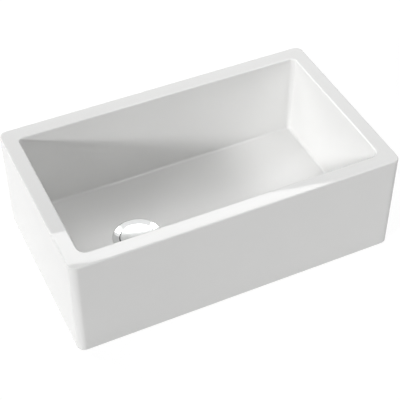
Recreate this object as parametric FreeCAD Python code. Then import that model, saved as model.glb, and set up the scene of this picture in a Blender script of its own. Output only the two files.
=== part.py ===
import FreeCAD, Part
import math
import os

from FreeCAD import Vector

# Farmhouse sink with a plain apron front, and the basket strainer in its floor.
# Millimetres. The origin is the centre of the basin's underside, +X to the right as
# seen from the front, +Y to the rear, +Z up.

# ---- Basin: outside -------------------------------------------------------------
BASIN_LENGTH = 762.0
BASIN_WIDTH = 457.2
BASIN_HEIGHT = 254.0
OUTER_CORNER_R = 18.0
RIM_EDGE_R = 3.5
FOOT_EDGE_R = 4.0

# ---- Basin: bowl ----------------------------------------------------------------
SIDE_RIM = 35.0
FRONT_RIM = 36.0
REAR_RIM = 38.0
FLOOR_THICKNESS = 36.5
FRONT_CORNER_R = 20.0
REAR_CORNER_R = 12.0
FLOOR_FILLET_R = 6.0
WALL_LEAN_DEG = 0.5
FLOOR_FALL_DEG = 0.3

# ---- Basin: underside -----------------------------------------------------------
FOOT_BAND = 50.0
CENTRE_RIB = 60.0
FOOT_RECESS = 7.0
POCKET_CORNER_R = 25.0
POCKET_EDGE_R = 4.0

# ---- Basin: drain hole ----------------------------------------------------------
DRAIN_X = -150.0
DRAIN_Y = -1.0
DRAIN_HOLE_R = 44.45
SEAT_DEPTH = 2.0
SEAT_MARGIN = 1.5
SEAT_EDGE_R = 1.2
LEVEL_MARGIN = 4.0
CLAMPED_THICKNESS = 14.0
CLAMP_ROOM = 14.0

# ---- Strainer body --------------------------------------------------------------
FLANGE_REACH = 12.55
FLANGE_THICKNESS = 2.2
FLANGE_FALL = 1.9
FLANGE_EDGE_R = 0.7
FLANGE_SEAL_THICKNESS = 0.6
MOUTH_EDGE_R = 1.0
HOLE_CLEARANCE = 0.45
BODY_WALL = 1.0
CUP_DEPTH = 57.3
CUP_BOTTOM_THICKNESS = 1.2
CUP_BOTTOM_R = 8.0
BODY_THREAD_PITCH = 2.5
BODY_THREAD_DEPTH = 0.8
BODY_THREAD_LENGTH = 26.0
THREAD_START = 2.0

# ---- Clamp under the basin ------------------------------------------------------
RUBBER_WASHER_WIDTH = 12.6
RUBBER_WASHER_THICKNESS = 3.0
FRICTION_RING_WIDTH = 11.1
FRICTION_RING_THICKNESS = 1.0
LOCKNUT_WALL = 8.85
LOCKNUT_HEIGHT = 8.0
LOCKNUT_LUG_LENGTH = 7.0
LOCKNUT_LUG_WIDTH = 13.0
LOCKNUT_LUGS = 8
THREAD_CLEARANCE = 0.15
RING_CLEARANCE = 0.4

# ---- Outlet: takes a waste pipe of 38.1 mm across -------------------------------
PIPE_BORE_R = 19.3
PIPE_SOCKET_DEPTH = 10.0
SPUD_BORE_R = 18.3
SPUD_NECK_R = 22.5
SPUD_SHOULDER_R = 27.0
SPUD_SHOULDER_HEIGHT = 3.0
SPUD_THREAD_R = 23.9
SPUD_THREAD_DEPTH = 0.8
SPUD_THREAD_PITCH = 2.2
SPUD_THREAD_LENGTH = 20.0
CROSS_DROP = 4.5
CROSS_HEIGHT = 3.0
CROSS_ARM_WIDTH = 4.0
CROSS_ARMS = 4
HUB_WALL = 2.5
HUB_HOLE_R = 5.0
TAIL_WASHER_R = 22.9
TAIL_WASHER_THICKNESS = 2.5
COUPLING_WALL = 4.0
COUPLING_HEIGHT = 20.0
COUPLING_LIP = 3.0
COUPLING_LUG_LENGTH = 4.5
COUPLING_LUG_WIDTH = 9.0
COUPLING_LUGS = 6

# ---- Basket ---------------------------------------------------------------------
REST_GAP = 0.3
BASKET_CLEARANCE = 2.0
BASKET_RIM_WIDTH = 2.4
BASKET_LIP = 2.6
BASKET_HEIGHT = 46.3
BASKET_BOTTOM_R = 27.0
BASKET_BOTTOM_ROUND = 6.0
BASKET_SHEET = 0.8
STRAIN_HOLE_R = 1.7
WALL_HOLE_ROWS = 4
WALL_HOLES_PER_ROW = 24
WALL_HOLE_SPACING = 7.5
WALL_HOLE_START = 12.0
INNER_HOLE_RING_R = 13.0
INNER_RING_HOLES = 10
OUTER_HOLE_RING_R = 19.5
OUTER_RING_HOLES = 16
STOPPER_SEAL_R = 29.0
STOPPER_SEAL_THICKNESS = 3.4
STOPPER_SEAL_EDGE_R = 1.0
POST_R = 3.2
POST_COLLAR_R = 7.0
POST_COLLAR_HEIGHT = 4.0
STEM_R = 2.5
STEM_HEAD_R = 3.6
STEM_HEAD_HEIGHT = 1.0
RETAINER_R = 11.0
RETAINER_THICKNESS = 1.2
STEM_NUT_ACROSS_FLATS = 8.0
STEM_NUT_HEIGHT = 3.0
KNOB_R = 10.0
KNOB_HEIGHT = 7.0
KNOB_EDGE_R = 2.5
KNOB_SLEEVE_R = 5.2
KNOB_CLEARANCE = 1.0
LATCH_HUB_GAP = 0.5
LATCH_HEIGHT = 4.5
LATCH_CLEARANCE = 0.4
LATCH_SLOTS = 2
LATCH_SLOT_WIDTH = 0.8

# ---- Cap ------------------------------------------------------------------------
CAP_GAP = 1.7
CAP_THICKNESS = 2.0
CAP_DISH = 2.0
CAP_EDGE_R = 0.8
CAP_SKIRT_DEPTH = 4.0
CAP_SKIRT_SHEET = 0.8
CAP_SKIRT_CLEARANCE = 0.8
CAP_FOOT_HEIGHT = 2.0
CAP_FOOT_R = 1.2
CAP_FEET = 3

# ---- Heights that follow --------------------------------------------------------
floor_z = FLOOR_THICKNESS
seat_z = floor_z - SEAT_DEPTH
clamp_z = seat_z - CLAMPED_THICKNESS
flange_low = seat_z + FLANGE_SEAL_THICKNESS
flange_top = flange_low + FLANGE_THICKNESS
cup_floor_z = flange_top - CUP_DEPTH
cup_under_z = cup_floor_z - CUP_BOTTOM_THICKNESS
body_thread_top = clamp_z + THREAD_START
body_thread_end = body_thread_top - BODY_THREAD_LENGTH
washer_low = clamp_z - RUBBER_WASHER_THICKNESS
friction_low = washer_low - FRICTION_RING_THICKNESS
locknut_low = friction_low - LOCKNUT_HEIGHT
spud_thread_top = cup_under_z - SPUD_SHOULDER_HEIGHT
spud_end = spud_thread_top - SPUD_THREAD_LENGTH
cross_top = cup_floor_z - CROSS_DROP
cross_low = cross_top - CROSS_HEIGHT
tail_washer_low = spud_end - TAIL_WASHER_THICKNESS
coupling_low = tail_washer_low - COUPLING_LIP
seal_low = cup_floor_z + REST_GAP
seal_top = seal_low + STOPPER_SEAL_THICKNESS
basket_low = seal_top + POST_COLLAR_HEIGHT
basket_floor = basket_low + BASKET_SHEET
basket_top = basket_low + BASKET_HEIGHT
stem_nut_low = seal_low - STEM_NUT_HEIGHT
latch_top = cross_low - LATCH_HUB_GAP
latch_low = latch_top - LATCH_HEIGHT
stem_end = latch_low - STEM_HEAD_HEIGHT
cap_foot_low = basket_top + REST_GAP
cap_low = cap_foot_low + CAP_FOOT_HEIGHT
cap_top = cap_low + CAP_THICKNESS
knob_top = cap_low - CAP_DISH - KNOB_CLEARANCE

# ---- Radii that follow ----------------------------------------------------------
flange_r = DRAIN_HOLE_R + FLANGE_REACH
seat_r = flange_r + SEAT_MARGIN
body_thread_r = DRAIN_HOLE_R - HOLE_CLEARANCE
body_r = body_thread_r - BODY_THREAD_DEPTH
cup_r = body_r - BODY_WALL
ring_bore_r = body_thread_r + RING_CLEARANCE
rubber_washer_r = ring_bore_r + RUBBER_WASHER_WIDTH
friction_ring_r = ring_bore_r + FRICTION_RING_WIDTH
locknut_r = body_thread_r + THREAD_CLEARANCE + LOCKNUT_WALL
clamp_recess_r = locknut_r + LOCKNUT_LUG_LENGTH + CLAMP_ROOM
spud_root_r = SPUD_THREAD_R - SPUD_THREAD_DEPTH
coupling_r = SPUD_THREAD_R + COUPLING_WALL
hub_r = HUB_HOLE_R + HUB_WALL
basket_rim_r = cup_r - BASKET_CLEARANCE
basket_r = basket_rim_r - BASKET_RIM_WIDTH
cap_r = cup_r - CAP_GAP
cap_skirt_r = basket_r - BASKET_SHEET - CAP_SKIRT_CLEARANCE
cap_foot_ring_r = basket_rim_r - BASKET_RIM_WIDTH / 2
latch_r = HUB_HOLE_R - LATCH_CLEARANCE

OVERCUT = 10.0  # how far a cutting solid runs past the face that it leaves by
TOUCH = 0.001  # how closely an edge has to lie where it is looked for


def corner_arc(before, corner, after):
    """Start, middle and end of the arc that rounds one corner of an outline."""
    here = Vector(corner[0], corner[1], 0)
    towards = (Vector(before[0], before[1], 0) - here).normalize()
    onwards = (Vector(after[0], after[1], 0) - here).normalize()
    radius = corner[2] if len(corner) > 2 else 0.0
    if radius == 0:
        return here, here, here
    half = towards.getAngle(onwards) / 2
    reach = radius / math.tan(half)
    inward = (towards + onwards).normalize()
    middle = here + inward * (radius / math.sin(half) - radius)
    return here + towards * reach, middle, here + onwards * reach


def outline_face(corners, place):
    """Face inside 2-D corners; a third value in a corner is its rounding radius."""
    count = len(corners)
    arcs = []
    for index, corner in enumerate(corners):
        arcs.append(corner_arc(corners[index - 1], corner, corners[(index + 1) % count]))
    edges = []
    for index, (start, middle, end) in enumerate(arcs):
        following = arcs[(index + 1) % count][0]
        if (end - start).Length > TOUCH:
            edges.append(Part.Arc(place(start), place(middle), place(end)).toShape())
        if (following - end).Length > TOUCH:
            edges.append(Part.LineSegment(place(end), place(following)).toShape())
    return Part.Face(Part.Wire(edges))


def turned(corners):
    """Solid turned about the Z axis from (radius, height) corners."""
    face = outline_face(corners, lambda point: Vector(point.x, 0, point.y))
    return face.revolve(Vector(0, 0, 0), Vector(0, 0, 1), 360)


def ring(inner_r, outer_r, low, high):
    """Flat ring about the Z axis."""
    return turned([(inner_r, low), (outer_r, low), (outer_r, high), (inner_r, high)])


def slab(x_low, x_high, y_low, y_high, z, front_r, rear_r):
    """Level face at height z, its front and its rear corners rounded."""
    corners = [
        (x_low, y_low, front_r),
        (x_high, y_low, front_r),
        (x_high, y_high, rear_r),
        (x_low, y_high, rear_r),
    ]
    return outline_face(corners, lambda point: Vector(point.x, point.y, z))


def polar(shape, count):
    """Copies of a shape spread evenly about the Z axis."""
    copies = []
    for index in range(count):
        copy = shape.copy()
        copy.rotate(Vector(0, 0, 0), Vector(0, 0, 1), 360.0 * index / count)
        copies.append(copy)
    return copies


def edges_at(shape, height):
    """Edges that lie level at one height."""
    found = []
    for edge in shape.Edges:
        box = edge.BoundBox
        if abs(box.ZMin - height) < TOUCH and abs(box.ZMax - height) < TOUCH:
            found.append(edge)
    return found


def circles_at(shape, radius, height):
    """Level circular edges of one radius at one height."""
    found = []
    for edge in edges_at(shape, height):
        if isinstance(edge.Curve, Part.Circle) and abs(edge.Curve.Radius - radius) < TOUCH:
            found.append(edge)
    return found


def thread_side(root_r, crest_r, pitch, thread_top, high, low):
    """Side of a thread between two heights, from the top down, drawn as V rings."""

    def radius_at(height):
        turns = (thread_top - height) / pitch
        share = 1 - abs(2 * (turns % 1.0) - 1)
        return root_r + (crest_r - root_r) * share

    half_pitch = pitch / 2
    corners = [(radius_at(high), high)]
    step = math.floor((thread_top - high) / half_pitch + TOUCH) + 1
    while thread_top - step * half_pitch > low + TOUCH:
        height = thread_top - step * half_pitch
        corners.append((radius_at(height), height))
        step += 1
    corners.append((radius_at(low), low))
    return corners


def lugs(count, inner_r, outer_r, width, low, high):
    """Grips that stand out of a nut, with their outer ends on one circle."""
    box = Part.makeBox(
        outer_r - inner_r, width, high - low, Vector(inner_r, -width / 2, low)
    )
    box = box.common(Part.makeCylinder(outer_r, high - low, Vector(0, 0, low)))
    return polar(box, count)


# ---- Basin ----------------------------------------------------------------------
def bowl_edge(z):
    """Outline of the bowl's walls at one height; they lean in towards the floor."""
    lean = (BASIN_HEIGHT - z) * math.tan(math.radians(WALL_LEAN_DEG))
    return slab(
        -BASIN_LENGTH / 2 + SIDE_RIM + lean,
        BASIN_LENGTH / 2 - SIDE_RIM - lean,
        -BASIN_WIDTH / 2 + FRONT_RIM + lean,
        BASIN_WIDTH / 2 - REAR_RIM - lean,
        z,
        FRONT_CORNER_R - lean,
        REAR_CORNER_R - lean,
    )


def floor_block():
    """Everything below the bowl's floor, which is level round the drain and then rises."""
    level_r = seat_r + LEVEL_MARGIN
    far_r = BASIN_LENGTH
    far_z = floor_z + (far_r - level_r) * math.tan(math.radians(FLOOR_FALL_DEG))
    block = turned(
        [(0, -OVERCUT), (far_r, -OVERCUT), (far_r, far_z), (level_r, floor_z), (0, floor_z)]
    )
    return at_drain(block)


def bowl_space():
    """The hollow of the bowl, its floor corners rounded."""
    low = bowl_edge(0)
    high = bowl_edge(BASIN_HEIGHT + OVERCUT)
    hollow = Part.makeLoft([low.OuterWire, high.OuterWire], True, True)
    hollow = hollow.cut(floor_block())
    wall_foot = []
    for edge in hollow.Edges:
        box = edge.BoundBox
        round_drain = isinstance(edge.Curve, Part.Circle) and edge.Closed
        if box.ZMax < BASIN_HEIGHT / 2 and not round_drain:
            wall_foot.append(edge)
    return hollow.makeFillet(FLOOR_FILLET_R, wall_foot)


def foot_pocket(x_low, x_high):
    """One shallow recess in the underside, between the foot band and the centre rib."""
    y_edge = BASIN_WIDTH / 2 - FOOT_BAND
    face = slab(x_low, x_high, -y_edge, y_edge, -OVERCUT, POCKET_CORNER_R, POCKET_CORNER_R)
    pocket = face.extrude(Vector(0, 0, OVERCUT + FOOT_RECESS))
    return pocket.makeFillet(POCKET_EDGE_R, edges_at(pocket, FOOT_RECESS))


def basin():
    x_edge = BASIN_LENGTH / 2
    y_edge = BASIN_WIDTH / 2
    block = slab(-x_edge, x_edge, -y_edge, y_edge, 0, OUTER_CORNER_R, OUTER_CORNER_R)
    block = block.extrude(Vector(0, 0, BASIN_HEIGHT))
    block = block.makeFillet(FOOT_EDGE_R, edges_at(block, 0))
    block = block.makeFillet(RIM_EDGE_R, edges_at(block, BASIN_HEIGHT))
    pocket_edge = x_edge - FOOT_BAND
    rib_edge = CENTRE_RIB / 2
    for pocket in (foot_pocket(-pocket_edge, -rib_edge), foot_pocket(rib_edge, pocket_edge)):
        block = block.cut(pocket)
    block = block.cut(bowl_space())
    bowl_rim = []
    for edge in edges_at(block, BASIN_HEIGHT):
        within_sides = abs(edge.CenterOfMass.x) < x_edge - SIDE_RIM / 2
        if within_sides and -y_edge + FRONT_RIM / 2 < edge.CenterOfMass.y < y_edge - REAR_RIM / 2:
            bowl_rim.append(edge)
    block = block.makeFillet(RIM_EDGE_R, bowl_rim)
    hole = Part.makeCylinder(DRAIN_HOLE_R, BASIN_HEIGHT, Vector(0, 0, -OVERCUT))
    seat = Part.makeCylinder(seat_r, BASIN_HEIGHT, Vector(0, 0, seat_z))
    clamp_recess = Part.makeCylinder(clamp_recess_r, OVERCUT + clamp_z, Vector(0, 0, -OVERCUT))
    for tool in (hole, seat, clamp_recess):
        block = block.cut(at_drain(tool))
    seat_edges = circles_at(block, seat_r, floor_z) + circles_at(block, DRAIN_HOLE_R, seat_z)
    return block.makeFillet(SEAT_EDGE_R, seat_edges)


# ---- Strainer body and its clamp ------------------------------------------------
def strainer_body():
    """Flange that falls to its mouth, threaded cup and flat bottom, in one piece."""
    corners = [
        (SPUD_NECK_R, cup_floor_z),
        (cup_r, cup_floor_z, CUP_BOTTOM_R),
        (cup_r, flange_top - FLANGE_FALL, MOUTH_EDGE_R),
        (flange_r, flange_top, FLANGE_EDGE_R),
        (flange_r, flange_low),
        (body_r, flange_low),
    ]
    corners += thread_side(
        body_r, body_thread_r, BODY_THREAD_PITCH, body_thread_top, body_thread_top, body_thread_end
    )
    corners += [
        (body_r, cup_under_z, CUP_BOTTOM_R),
        (SPUD_NECK_R, cup_under_z),
    ]
    return turned(corners)


def flange_seal():
    """Bedding ring between the flange and its seat in the floor."""
    return ring(ring_bore_r + SEAT_EDGE_R, flange_r - FLANGE_EDGE_R, seat_z, flange_low)


def rubber_washer():
    return ring(ring_bore_r, rubber_washer_r, washer_low, clamp_z)


def friction_ring():
    return ring(ring_bore_r, friction_ring_r, friction_low, washer_low)


def locknut():
    """Ring nut with grips, threaded on the strainer body."""
    corners = [(locknut_r, locknut_low), (locknut_r, friction_low)]
    corners += thread_side(
        body_r + THREAD_CLEARANCE,
        body_thread_r + THREAD_CLEARANCE,
        BODY_THREAD_PITCH,
        body_thread_top,
        friction_low,
        locknut_low,
    )
    grips = lugs(
        LOCKNUT_LUGS,
        locknut_r - LOCKNUT_LUG_LENGTH / 2,
        locknut_r + LOCKNUT_LUG_LENGTH,
        LOCKNUT_LUG_WIDTH,
        locknut_low,
        friction_low,
    )
    return turned(corners).multiFuse(grips).removeSplitter()


# ---- Outlet ---------------------------------------------------------------------
def outlet_spud():
    """Threaded outlet with the cross in its bore that guides and holds the stem."""
    corners = [
        (SPUD_BORE_R, cup_floor_z),
        (SPUD_NECK_R, cup_floor_z),
        (SPUD_NECK_R, cup_under_z),
        (SPUD_SHOULDER_R, cup_under_z),
        (SPUD_SHOULDER_R, spud_thread_top),
    ]
    corners += thread_side(
        spud_root_r, SPUD_THREAD_R, SPUD_THREAD_PITCH, spud_thread_top, spud_thread_top, spud_end
    )
    corners += [
        (PIPE_BORE_R, spud_end),
        (PIPE_BORE_R, spud_end + PIPE_SOCKET_DEPTH),
        (SPUD_BORE_R, spud_end + PIPE_SOCKET_DEPTH),
    ]
    wall_middle_r = (SPUD_BORE_R + spud_root_r) / 2
    arm_length = wall_middle_r - HUB_HOLE_R - HUB_WALL / 2
    arm = Part.makeBox(
        arm_length,
        CROSS_ARM_WIDTH,
        CROSS_HEIGHT,
        Vector(wall_middle_r - arm_length, -CROSS_ARM_WIDTH / 2, cross_low),
    )
    hub = ring(HUB_HOLE_R, hub_r, cross_low, cross_top)
    return turned(corners).multiFuse([hub] + polar(arm, CROSS_ARMS)).removeSplitter()


def tail_washer():
    return ring(PIPE_BORE_R, TAIL_WASHER_R, tail_washer_low, spud_end)


def coupling_nut():
    """Nut on the outlet's thread, which holds the tail washer up against its end."""
    coupling_top = coupling_low + COUPLING_HEIGHT
    corners = [
        (PIPE_BORE_R, coupling_low),
        (coupling_r, coupling_low, COUPLING_WALL / 4),
        (coupling_r, coupling_top, COUPLING_WALL / 4),
    ]
    corners += thread_side(
        spud_root_r + THREAD_CLEARANCE,
        SPUD_THREAD_R + THREAD_CLEARANCE,
        SPUD_THREAD_PITCH,
        spud_thread_top,
        coupling_top,
        spud_end,
    )
    corners += [
        (spud_root_r + THREAD_CLEARANCE, tail_washer_low),
        (PIPE_BORE_R, tail_washer_low),
    ]
    grips = lugs(
        COUPLING_LUGS,
        coupling_r - COUPLING_WALL / 2,
        coupling_r + COUPLING_LUG_LENGTH,
        COUPLING_LUG_WIDTH,
        coupling_low + COUPLING_WALL / 4,
        coupling_top - COUPLING_WALL / 4,
    )
    return turned(corners).multiFuse(grips).removeSplitter()


# ---- Basket ---------------------------------------------------------------------
def strain_holes():
    """Round holes in the basket's wall, in staggered rows, and in its bottom."""
    holes = []
    turn = 360.0 / WALL_HOLES_PER_ROW
    for row in range(WALL_HOLE_ROWS):
        height = basket_low + WALL_HOLE_START + row * WALL_HOLE_SPACING
        hole = Part.makeCylinder(
            STRAIN_HOLE_R, basket_r, Vector(BASKET_BOTTOM_R / 2, 0, height), Vector(1, 0, 0)
        )
        hole.rotate(Vector(0, 0, 0), Vector(0, 0, 1), turn / 2 * (row % 2))
        holes += polar(hole, WALL_HOLES_PER_ROW)
    for ring_r, count in (
        (INNER_HOLE_RING_R, INNER_RING_HOLES),
        (OUTER_HOLE_RING_R, OUTER_RING_HOLES),
    ):
        hole = Part.makeCylinder(
            STRAIN_HOLE_R, BASKET_HEIGHT / 2, Vector(ring_r, 0, basket_low - BASKET_HEIGHT / 4)
        )
        holes += polar(hole, count)
    return holes


def basket_cup():
    """Perforated cup with a rolled rim."""
    rim_low = basket_top - BASKET_SHEET
    lip_low = basket_top - BASKET_LIP
    cup = turned(
        [
            (POST_R, basket_low),
            (BASKET_BOTTOM_R, basket_low, BASKET_BOTTOM_ROUND + BASKET_SHEET),
            (basket_r, rim_low),
            (basket_rim_r - BASKET_SHEET, rim_low),
            (basket_rim_r - BASKET_SHEET, lip_low),
            (basket_rim_r, lip_low),
            (basket_rim_r, basket_top, BASKET_SHEET),
            (basket_r - BASKET_SHEET, basket_top),
            (BASKET_BOTTOM_R - BASKET_SHEET, basket_floor, BASKET_BOTTOM_ROUND),
            (POST_R, basket_floor),
        ]
    )
    return cup.cut(Part.makeCompound(strain_holes()))


def basket_knob():
    """Pull knob with the sleeve that presses the cup on to the post's collar."""
    knob_low = knob_top - KNOB_HEIGHT
    socket_top = knob_top - KNOB_HEIGHT / 2
    return turned(
        [
            (POST_R, basket_floor),
            (KNOB_SLEEVE_R, basket_floor),
            (KNOB_SLEEVE_R, knob_low),
            (KNOB_R, knob_low, KNOB_EDGE_R / 2),
            (KNOB_R, knob_top, KNOB_EDGE_R),
            (0, knob_top),
            (0, socket_top),
            (POST_R, socket_top),
        ]
    )


def centre_post():
    """Post from the knob to the latch, with the collar between the cup and the stopper."""
    return turned(
        [
            (0, stem_end),
            (STEM_HEAD_R, stem_end),
            (STEM_HEAD_R, latch_low),
            (STEM_R, latch_low),
            (STEM_R, seal_top),
            (POST_COLLAR_R, seal_top),
            (POST_COLLAR_R, basket_low),
            (POST_R, basket_low),
            (POST_R, knob_top - KNOB_HEIGHT / 2),
            (0, knob_top - KNOB_HEIGHT / 2),
        ]
    )


def stopper_seal():
    """Rubber stopper under the cup, recessed below for its retainer."""
    recess_top = seal_low + RETAINER_THICKNESS
    return turned(
        [
            (STEM_R, recess_top),
            (RETAINER_R, recess_top),
            (RETAINER_R, seal_low),
            (STOPPER_SEAL_R, seal_low, STOPPER_SEAL_EDGE_R),
            (STOPPER_SEAL_R, seal_top, STOPPER_SEAL_EDGE_R),
            (STEM_R, seal_top),
        ]
    )


def seal_retainer():
    return ring(STEM_R, RETAINER_R, seal_low, seal_low + RETAINER_THICKNESS)


def stem_nut():
    """Hexagonal nut that holds the stopper and its retainer on the stem."""
    corner_r = STEM_NUT_ACROSS_FLATS / 2 / math.cos(math.radians(30))
    points = []
    for index in range(7):
        angle = math.radians(60 * index)
        points.append(Vector(corner_r * math.cos(angle), corner_r * math.sin(angle), stem_nut_low))
    hexagon = Part.Face(Part.makePolygon(points)).extrude(Vector(0, 0, STEM_NUT_HEIGHT))
    return hexagon.cut(Part.makeCylinder(STEM_R, STEM_NUT_HEIGHT, Vector(0, 0, stem_nut_low)))


def latch_spring():
    """Slit spring collar that snaps past the cross's hub, drawn pressed in."""
    latch_middle = (latch_low + latch_top) / 2
    collar = turned(
        [
            (STEM_R, latch_low),
            ((STEM_R + latch_r) / 2, latch_low),
            (latch_r, latch_middle, LATCH_HEIGHT / 4),
            ((STEM_R + latch_r) / 2, latch_top),
            (STEM_R, latch_top),
        ]
    )
    slot_top = latch_top - LATCH_HEIGHT / 4
    slot = Part.makeBox(
        2 * HUB_HOLE_R,
        LATCH_SLOT_WIDTH,
        slot_top - latch_low,
        Vector(-HUB_HOLE_R, -LATCH_SLOT_WIDTH / 2, latch_low),
    )
    for index in range(LATCH_SLOTS):
        turned_slot = slot.copy()
        turned_slot.rotate(Vector(0, 0, 0), Vector(0, 0, 1), 180.0 * index / LATCH_SLOTS)
        collar = collar.cut(turned_slot)
    return collar


# ---- Cap ------------------------------------------------------------------------
def dish(edge_r, edge_z):
    """Arc that falls by the cap's dish from its edge to the Z axis, on one sphere."""
    middle_z = edge_z - CAP_DISH
    sphere_r = (edge_r**2 + CAP_DISH**2) / (2 * CAP_DISH)
    half_r = edge_r / 2
    half_z = middle_z + sphere_r - math.sqrt(sphere_r**2 - half_r**2)
    ends = Vector(0, 0, middle_z), Vector(half_r, 0, half_z), Vector(edge_r, 0, edge_z)
    return Part.Arc(*ends).toShape()


def cap_disc():
    """Cap dished towards its middle, with a flat land below its edge for skirt and feet."""
    land_r = cap_skirt_r - CAP_SKIRT_SHEET
    middle_low = Vector(0, 0, cap_low - CAP_DISH)
    middle_high = Vector(0, 0, cap_top - CAP_DISH)
    land = Vector(land_r, 0, cap_low)
    edge_low = Vector(cap_r, 0, cap_low)
    edge_high = Vector(cap_r, 0, cap_top)
    outline = [
        Part.LineSegment(middle_high, middle_low).toShape(),
        dish(land_r, cap_low),
        Part.LineSegment(land, edge_low).toShape(),
        Part.LineSegment(edge_low, edge_high).toShape(),
        dish(cap_r, cap_top),
    ]
    face = Part.Face(Part.Wire(Part.__sortEdges__(outline)))
    disc = face.revolve(Vector(0, 0, 0), Vector(0, 0, 1), 360)
    return disc.makeFillet(CAP_EDGE_R, circles_at(disc, cap_r, cap_top))


def cap_skirt():
    """Ring under the cap that centres it in the basket."""
    return ring(cap_skirt_r - CAP_SKIRT_SHEET, cap_skirt_r, cap_low - CAP_SKIRT_DEPTH, cap_low)


def cap_feet():
    """Soft feet that stand the cap off the basket's rim, so that water runs in below it."""
    foot = Part.makeCylinder(CAP_FOOT_R, CAP_FOOT_HEIGHT, Vector(cap_foot_ring_r, 0, cap_foot_low))
    return Part.makeCompound(polar(foot, CAP_FEET))


def at_drain(shape):
    """A shape made about the Z axis, moved to the drain's axis."""
    return shape.translated(Vector(DRAIN_X, DRAIN_Y, 0))


def nodes():
    """Every piece in its place, by name."""
    made = {"basin": basin()}
    for piece in (
        strainer_body,
        flange_seal,
        rubber_washer,
        friction_ring,
        locknut,
        outlet_spud,
        tail_washer,
        coupling_nut,
        basket_cup,
        basket_knob,
        centre_post,
        stopper_seal,
        seal_retainer,
        stem_nut,
        latch_spring,
        cap_disc,
        cap_skirt,
        cap_feet,
    ):
        made[piece.__name__] = at_drain(piece())
    return made


os.makedirs("parts", exist_ok=True)
for name, shape in nodes().items():
    shape.exportStep(os.path.join("parts", name + ".step"))
    print(name, "valid" if shape.isValid() else "INVALID", len(shape.Solids), round(shape.Volume))
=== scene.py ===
import math

import bmesh
import bpy
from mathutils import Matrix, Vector


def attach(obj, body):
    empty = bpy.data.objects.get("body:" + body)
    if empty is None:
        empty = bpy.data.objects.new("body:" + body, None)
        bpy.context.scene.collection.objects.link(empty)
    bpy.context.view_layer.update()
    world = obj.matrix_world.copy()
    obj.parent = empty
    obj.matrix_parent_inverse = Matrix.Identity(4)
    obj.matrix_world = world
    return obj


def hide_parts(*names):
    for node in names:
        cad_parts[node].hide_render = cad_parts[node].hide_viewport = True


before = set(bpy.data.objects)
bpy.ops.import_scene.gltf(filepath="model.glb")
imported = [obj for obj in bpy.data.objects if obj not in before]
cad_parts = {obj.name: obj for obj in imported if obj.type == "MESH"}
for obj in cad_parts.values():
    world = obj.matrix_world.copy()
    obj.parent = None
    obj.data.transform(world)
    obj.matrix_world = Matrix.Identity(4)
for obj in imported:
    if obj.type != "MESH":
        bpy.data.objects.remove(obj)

bpy.context.view_layer.update()

bl_info = {
    "name": "Apron Sink",
    "version": (1, 0, 0),
    "blender": (4, 5, 0),
    "location": "View3D > Sidebar > Sink",
    "description": "Models a fireclay apron front sink and its basket strainer",
    "category": "Object",
}


# ---- Sizes and colours that a user may change ------------------------------------
def length(name, description, default):
    return bpy.props.FloatProperty(
        name=name, description=description, default=default, min=0.0, unit="LENGTH", precision=5
    )


def colour(name, description, default):
    return bpy.props.FloatVectorProperty(
        name=name,
        description=description,
        default=default,
        min=0.0,
        max=1.0,
        size=3,
        subtype="COLOR",
    )


def power(name, description, default):
    return bpy.props.FloatProperty(
        name=name, description=description, default=default, min=0.0, unit="POWER"
    )


class BasinSizes(bpy.types.PropertyGroup):
    """Sizes of the fireclay basin."""

    length: length("Length", "Across the apron, from side to side", 0.762)
    width: length("Width", "From the apron to the rear", 0.4572)
    height: length("Height", "From the foot to the rim", 0.254)
    side_rim: length("Side rim", "Width of the rim at each side", 0.035)
    front_rim: length("Front rim", "Width of the rim behind the apron", 0.036)
    rear_rim: length("Rear rim", "Width of the rim at the rear", 0.038)
    outer_corner: length("Outer corner", "Radius of the upright corners outside", 0.018)
    front_corner: length("Front bowl corner", "Radius of the bowl's corners in front", 0.020)
    rear_corner: length("Rear bowl corner", "Radius of the bowl's corners at the rear", 0.012)
    rim_round: length("Rim rounding", "Radius of the rim's edges", 0.0035)
    foot_round: length("Foot rounding", "Radius of the edge round the foot", 0.004)
    floor_round: length("Floor rounding", "Radius where the walls meet the floor", 0.006)
    floor_height: length("Floor height", "Bowl's floor at the drain, above the foot", 0.0365)
    foot_band: length("Foot band", "Width of the band that the basin stands on", 0.050)
    centre_rib: length("Centre rib", "Width of the rib between the recesses", 0.060)
    foot_recess: length("Foot recess", "Depth of the recesses in the underside", 0.007)
    pocket_corner: length("Recess corner", "Radius of the recesses' corners", 0.025)
    pocket_round: length("Recess rounding", "Radius where the recesses' sides meet the top", 0.004)
    pocket_lip: length("Recess lip", "Radius of the recesses' lower edges", 0.0015)
    wall_lean: bpy.props.FloatProperty(
        name="Wall lean",
        description="How far the bowl's walls lean in towards the floor",
        default=math.radians(0.5),
        subtype="ANGLE",
    )
    floor_fall: bpy.props.FloatProperty(
        name="Floor fall",
        description="Slope of the floor towards the drain",
        default=math.radians(0.3),
        subtype="ANGLE",
    )


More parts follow.
